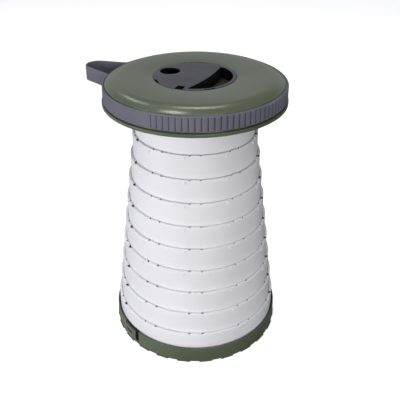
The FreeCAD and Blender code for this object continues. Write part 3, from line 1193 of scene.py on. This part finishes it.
# turn is in degrees from the camera's side of the stool, positive to its right, and rise is from
# level; distance and size are in metres, and power in watts
softboxAim = Vector((0, 0, 0.25))
softboxes = dict(
    keyLeft=dict(turn=-60, rise=8, distance=2.4, size=(1.2, 1.2), power=30),
    front=dict(turn=17, rise=8, distance=2.4, size=(1.2, 1.2), power=29),
    overhead=dict(turn=0, rise=72, distance=2.0, size=(2.4, 1.0), power=11),
    stripBehind=dict(turn=-151, rise=46, distance=2.0, size=(0.14, 0.5), power=1.3),
    barBehind=dict(turn=178, rise=57, distance=2.0, size=(0.55, 0.16), power=3.2),
    aboveLeft=dict(turn=-127, rise=76, distance=2.0, size=(0.20, 0.20), power=6.0),
)


def aroundView(side, forward, height):
    # a place given as seen from the camera: to its right, away from it, and up
    return Vector((*turnedBy(side, forward, view["azimuth"]), height))


def makeFloor():
    mesh = bmesh.new()
    bmesh.ops.create_grid(mesh, x_segments=paper["squares"], y_segments=paper["squares"], size=paper["reach"])
    data = bpy.data.meshes.new("studioFloor")
    mesh.to_mesh(data)
    mesh.free()
    floor = bpy.data.objects.new("studioFloor", data)
    bpy.context.scene.collection.objects.link(floor)
    material, tree, shader, place = startMaterial("floorPaper")
    cloudy = noiseAt(tree, place, paper["cloudScale"])
    colour = rampBetween(tree, cloudy, paper["dark"], paper["light"], rampEnds["colour"])
    tree.links.new(colour, shader.inputs["Base Color"])
    shader.inputs["Roughness"].default_value = paper["rough"]
    shader.inputs["Specular IOR Level"].default_value = paper["gloss"]
    shader.inputs["Emission Color"].default_value = (1, 1, 1, 1)
    shader.inputs["Emission Strength"].default_value = paper["glow"]
    data.materials.append(material)
    floor.visible_diffuse = False
    floor.visible_glossy = False


def makeWorld():
    # dim room light, with a bright wall behind the stool up to about twenty-seven degrees,
    # a bright floor on the left and a darker right side
    world = bpy.data.worlds.new("studioWorld")
    world.use_nodes = True
    tree = world.node_tree
    place = tree.nodes.new("ShaderNodeTexCoord")

    def alongAxis(axis):
        dot = tree.nodes.new("ShaderNodeVectorMath")
        dot.operation = "DOT_PRODUCT"
        dot.inputs[1].default_value = axis
        tree.links.new(place.outputs["Generated"], dot.inputs[0])
        return dot.outputs["Value"]

    def eased(value, start, end, first, last):
        ranged = tree.nodes.new("ShaderNodeMapRange")
        ranged.interpolation_type = "SMOOTHSTEP"
        for label, number in (("From Min", start), ("From Max", end), ("To Min", first), ("To Max", last)):
            ranged.inputs[label].default_value = number
        tree.links.new(value, ranged.inputs["Value"])
        return ranged.outputs["Result"]

    def joinBy(operation, one, other):
        node = tree.nodes.new("ShaderNodeMath")
        node.operation = operation
        tree.links.new(one, node.inputs[0])
        tree.links.new(other, node.inputs[1])
        return node.outputs["Value"]

    up = alongAxis((0, 0, 1))
    behind = alongAxis(aroundView(0, 1, 0))
    right = alongAxis(aroundView(1, 0, 0))
    left = alongAxis(aroundView(-1, 0, 0))
    edge = studio["horizon"]
    wallTop = studio["wallTop"]
    room = joinBy("MULTIPLY", eased(up, -edge, edge, studio["low"], studio["high"]),
                  eased(right, *studio["rightSide"], 1.0, studio["rightShare"]))
    wall = joinBy("MULTIPLY", eased(up, -edge, edge, 0.0, studio["wall"]),
                  eased(up, wallTop - edge, wallTop + edge, 1.0, 0.0))
    wall = joinBy("MULTIPLY", wall, eased(behind, *studio["wallSides"], 0.0, 1.0))
    glow = joinBy("MULTIPLY", eased(left, *studio["glowSide"], 0.0, studio["glow"]),
                  eased(up, *studio["glowTop"], 1.0, 0.0))
    background = tree.nodes["Background"]
    background.inputs["Color"].default_value = (*studio["tint"], 1)
    tree.links.new(joinBy("ADD", joinBy("ADD", room, wall), glow), background.inputs["Strength"])
    bpy.context.scene.world = world


def addSoftbox(name, turn, rise, distance, size, power):
    light = bpy.data.lights.new(name, "AREA")
    light.shape = "RECTANGLE"
    light.size, light.size_y = size
    light.energy = power
    angle = math.radians(turn)
    tilt = math.radians(rise)
    level = math.cos(tilt) * distance
    away = aroundView(math.sin(angle) * level, -math.cos(angle) * level, math.sin(tilt) * distance)
    lamp = bpy.data.objects.new(name, light)
    lamp.location = softboxAim + away
    lamp.rotation_euler = (-away).to_track_quat("-Z", "Y").to_euler()
    bpy.context.scene.collection.objects.link(lamp)


def makeCamera():
    lens = bpy.data.cameras.new("photoCamera")
    lens.sensor_width = view["sensorWidth"]
    lens.lens = view["focalPixels"] / view["framePixels"] * lens.sensor_width
    half = view["framePixels"] / 2
    lens.shift_x = (half - view["axisPixel"][0]) / view["framePixels"]
    lens.shift_y = (view["axisPixel"][1] - half) / view["framePixels"]
    lens.clip_start = view["clipStart"]
    camera = bpy.data.objects.new("photoCamera", lens)
    tilt = math.radians(view["elevation"])
    away = aroundView(0, -view["distance"] * math.cos(tilt), view["distance"] * math.sin(tilt))
    camera.location = Vector((0, 0, view["aimHeight"])) + away
    roll = Quaternion((0, 0, 1), math.radians(view["roll"]))
    camera.rotation_euler = ((-away).to_track_quat("-Z", "Y") @ roll).to_euler()
    bpy.context.scene.collection.objects.link(camera)
    bpy.context.scene.camera = camera


bpy.context.scene.view_settings.view_transform = "Standard"
makeFloor()
makeWorld()
for softboxName, settings in softboxes.items():
    addSoftbox(softboxName, **settings)
makeCamera()
print("light and camera set")
